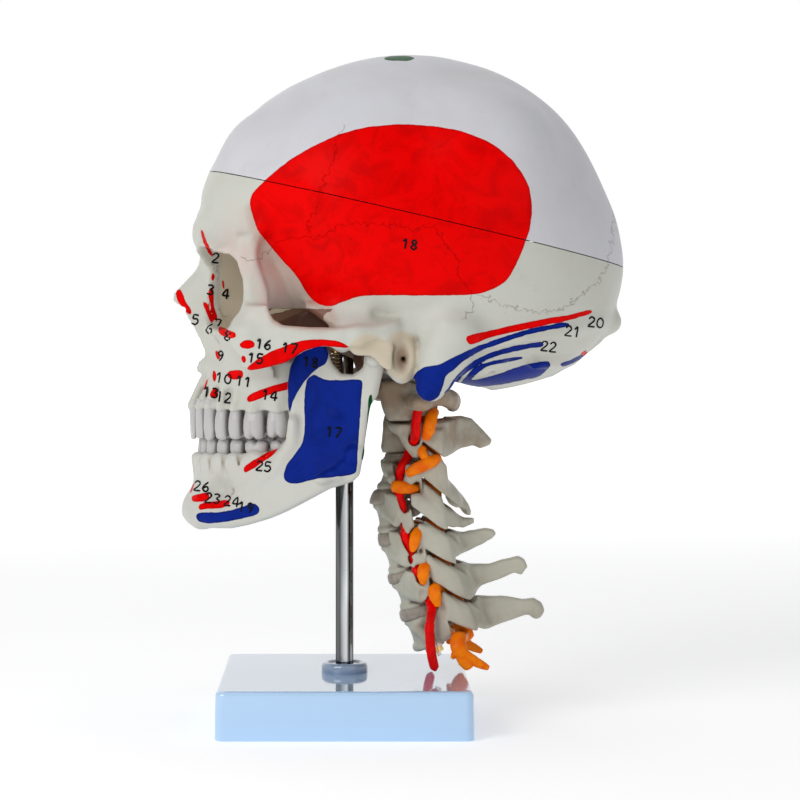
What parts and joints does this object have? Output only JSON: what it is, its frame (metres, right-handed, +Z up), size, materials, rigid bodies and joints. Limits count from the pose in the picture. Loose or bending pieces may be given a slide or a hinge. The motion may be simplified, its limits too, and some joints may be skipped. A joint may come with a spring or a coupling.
{
  "type": "anatomical skull model with cervical spine on a stand",
  "caption": "Life-size teaching skull with a lift-off skull cap, a sprung jaw and a hanging neck column, on a chrome post in a small gloss base.",
  "frame": {"origin": "centre of the base's underside, on the table, under the axis of the post", "axes": "+Z up along the post; the face looks along -Y and +X is the skull's left side"},
  "size_m": [0.1422, 0.1989, 0.295],
  "materials": {
    "base_gloss": "moulded high-gloss white, faintly blue",
    "base_cover": "fine matt moulded underside",
    "collar_gloss": "glossy white moulding",
    "post_chrome": "polished chrome plate on steel tube",
    "steel_hardware": "zinc-plated steel",
    "spring_steel": "bright drawn spring wire",
    "brass_hardware": "plain turned brass",
    "nylon": "natural nylon",
    "skull_bone": "bone-white cast plastic with fine pores and sutures, hand-painted red, blue and green muscle areas on its left",
    "teeth": "cool grey-white, slightly glossy, shaded between the teeth",
    "neck_bone": "grey-cream cast plastic, darker in its hollows",
    "disc_soft": "grey-brown soft plastic",
    "nerve_soft": "orange-yellow painted soft plastic",
    "artery_soft": "bright red painted soft plastic"
  },
  "bodies": {
    "stand": {"base_shell": "base_gloss", "base_cover": "base_cover", "cover_screws": "steel_hardware", "post_collar": "collar_gloss", "post": "post_chrome", "base_washer": "steel_hardware", "base_nut": "steel_hardware"},
    "turning_cap": {"support_cap": "nylon"},
    "skull": {"cranium": "skull_bone", "locating_pins": "brass_hardware", "upper_teeth": "teeth", "spring_screws_upper": "brass_hardware", "jaw_springs": "spring_steel"},
    "skull_cap": {"calvaria": "skull_bone"},
    "jaw": {"mandible": "skull_bone", "lower_teeth": "teeth", "spring_screws_lower": "brass_hardware"},
    "neck_mount": {"neck_plug": "nylon"},
    "neck_c1": {"c1_atlas": "neck_bone", "spinal_nerves_c1": "nerve_soft", "vertebral_arteries_c1": "artery_soft"},
    "neck_c2": {"c2_axis": "neck_bone", "disc_c2_c3": "disc_soft", "spinal_nerves_c2": "nerve_soft", "vertebral_arteries_c2": "artery_soft"},
    "neck_c3": {"c3_vertebra": "neck_bone", "disc_c3_c4": "disc_soft", "spinal_nerves_c3": "nerve_soft", "vertebral_arteries_c3": "artery_soft"},
    "neck_c4": {"c4_vertebra": "neck_bone", "disc_c4_c5": "disc_soft", "spinal_nerves_c4": "nerve_soft", "vertebral_arteries_c4": "artery_soft"},
    "neck_c5": {"c5_vertebra": "neck_bone", "disc_c5_c6": "disc_soft", "spinal_nerves_c5": "nerve_soft", "vertebral_arteries_c5": "artery_soft"},
    "neck_c6": {"c6_vertebra": "neck_bone", "disc_c6_c7": "disc_soft", "spinal_nerves_c6": "nerve_soft", "vertebral_arteries_c6": "artery_soft"},
    "neck_c7": {"c7_vertebra": "neck_bone", "spinal_nerves_c7": "nerve_soft", "vertebral_arteries_c7": "artery_soft", "core_washer": "steel_hardware", "core_nut": "steel_hardware", "core_rod_end": "steel_hardware"}
  },
  "joints": [
    {"name": "skull_swivel", "type": "hinge", "parent": "stand", "child": "turning_cap", "pos_m": [0, 0, 0.165], "axis": [0, 0, 1], "continuous": true},
    {"name": "skull_lift", "type": "slide", "parent": "turning_cap", "child": "skull", "axis": [0, 0, 1], "range_m": [0, 0.1]},
    {"name": "calvaria_lift", "type": "slide", "parent": "skull", "child": "skull_cap", "axis": [0, 0.2253, 0.9743], "range_m": [0, 0.08]},
    {"name": "jaw_open", "type": "hinge", "parent": "skull", "child": "jaw", "pos_m": [0, 0.013, 0.162], "axis": [1, 0, 0], "range_deg": [0, 25], "stiffness_Nm_per_rad": 0.3, "springref_deg": -20.05, "deforming": ["jaw_springs"]},
    {"name": "neck_side", "type": "hinge", "parent": "skull", "child": "neck_mount", "pos_m": [0, 0.038, 0.1545], "axis": [0, 1, 0], "range_deg": [-2, 2], "stiffness_Nm_per_rad": 2},
    {"name": "neck_flex", "type": "hinge", "parent": "neck_mount", "child": "neck_c1", "pos_m": [0, 0.03, 0.15], "axis": [1, 0, 0], "range_deg": [-0.5, 3], "stiffness_Nm_per_rad": 4},
    {"name": "atlas_turn", "type": "hinge", "parent": "neck_c1", "child": "neck_c2", "pos_m": [0, 0.0226, 0.14], "axis": [0, 0, 1], "range_deg": [-6, 6], "stiffness_Nm_per_rad": 0.5},
    {"name": "c2_c3_flex", "type": "hinge", "parent": "neck_c2", "child": "neck_c3", "pos_m": [0, 0.024, 0.11755], "axis": [1, 0, 0], "range_deg": [-0.5, 3], "stiffness_Nm_per_rad": 3},
    {"name": "c3_c4_flex", "type": "hinge", "parent": "neck_c3", "child": "neck_c4", "pos_m": [0, 0.0236, 0.1005], "axis": [1, 0, 0], "range_deg": [-0.2, 1.2], "stiffness_Nm_per_rad": 3},
    {"name": "c4_c5_flex", "type": "hinge", "parent": "neck_c4", "child": "neck_c5", "pos_m": [0, 0.0249, 0.0821], "axis": [1, 0, 0], "range_deg": [-0.5, 3], "stiffness_Nm_per_rad": 3},
    {"name": "c5_c6_flex", "type": "hinge", "parent": "neck_c5", "child": "neck_c6", "pos_m": [0, 0.029, 0.0652], "axis": [1, 0, 0], "range_deg": [-0.5, 3], "stiffness_Nm_per_rad": 3},
    {"name": "c6_c7_flex", "type": "hinge", "parent": "neck_c6", "child": "neck_c7", "pos_m": [0, 0.0342, 0.0486], "axis": [1, 0, 0], "range_deg": [-0.5, 3], "stiffness_Nm_per_rad": 3}
  ],
  "couplings": [
    {"joint": "c2_c3_flex", "follows": "neck_flex", "ratio": 1},
    {"joint": "c3_c4_flex", "follows": "neck_flex", "ratio": 0.4},
    {"joint": "c4_c5_flex", "follows": "neck_flex", "ratio": 1},
    {"joint": "c5_c6_flex", "follows": "neck_flex", "ratio": 1},
    {"joint": "c6_c7_flex", "follows": "neck_flex", "ratio": 1}
  ]
}
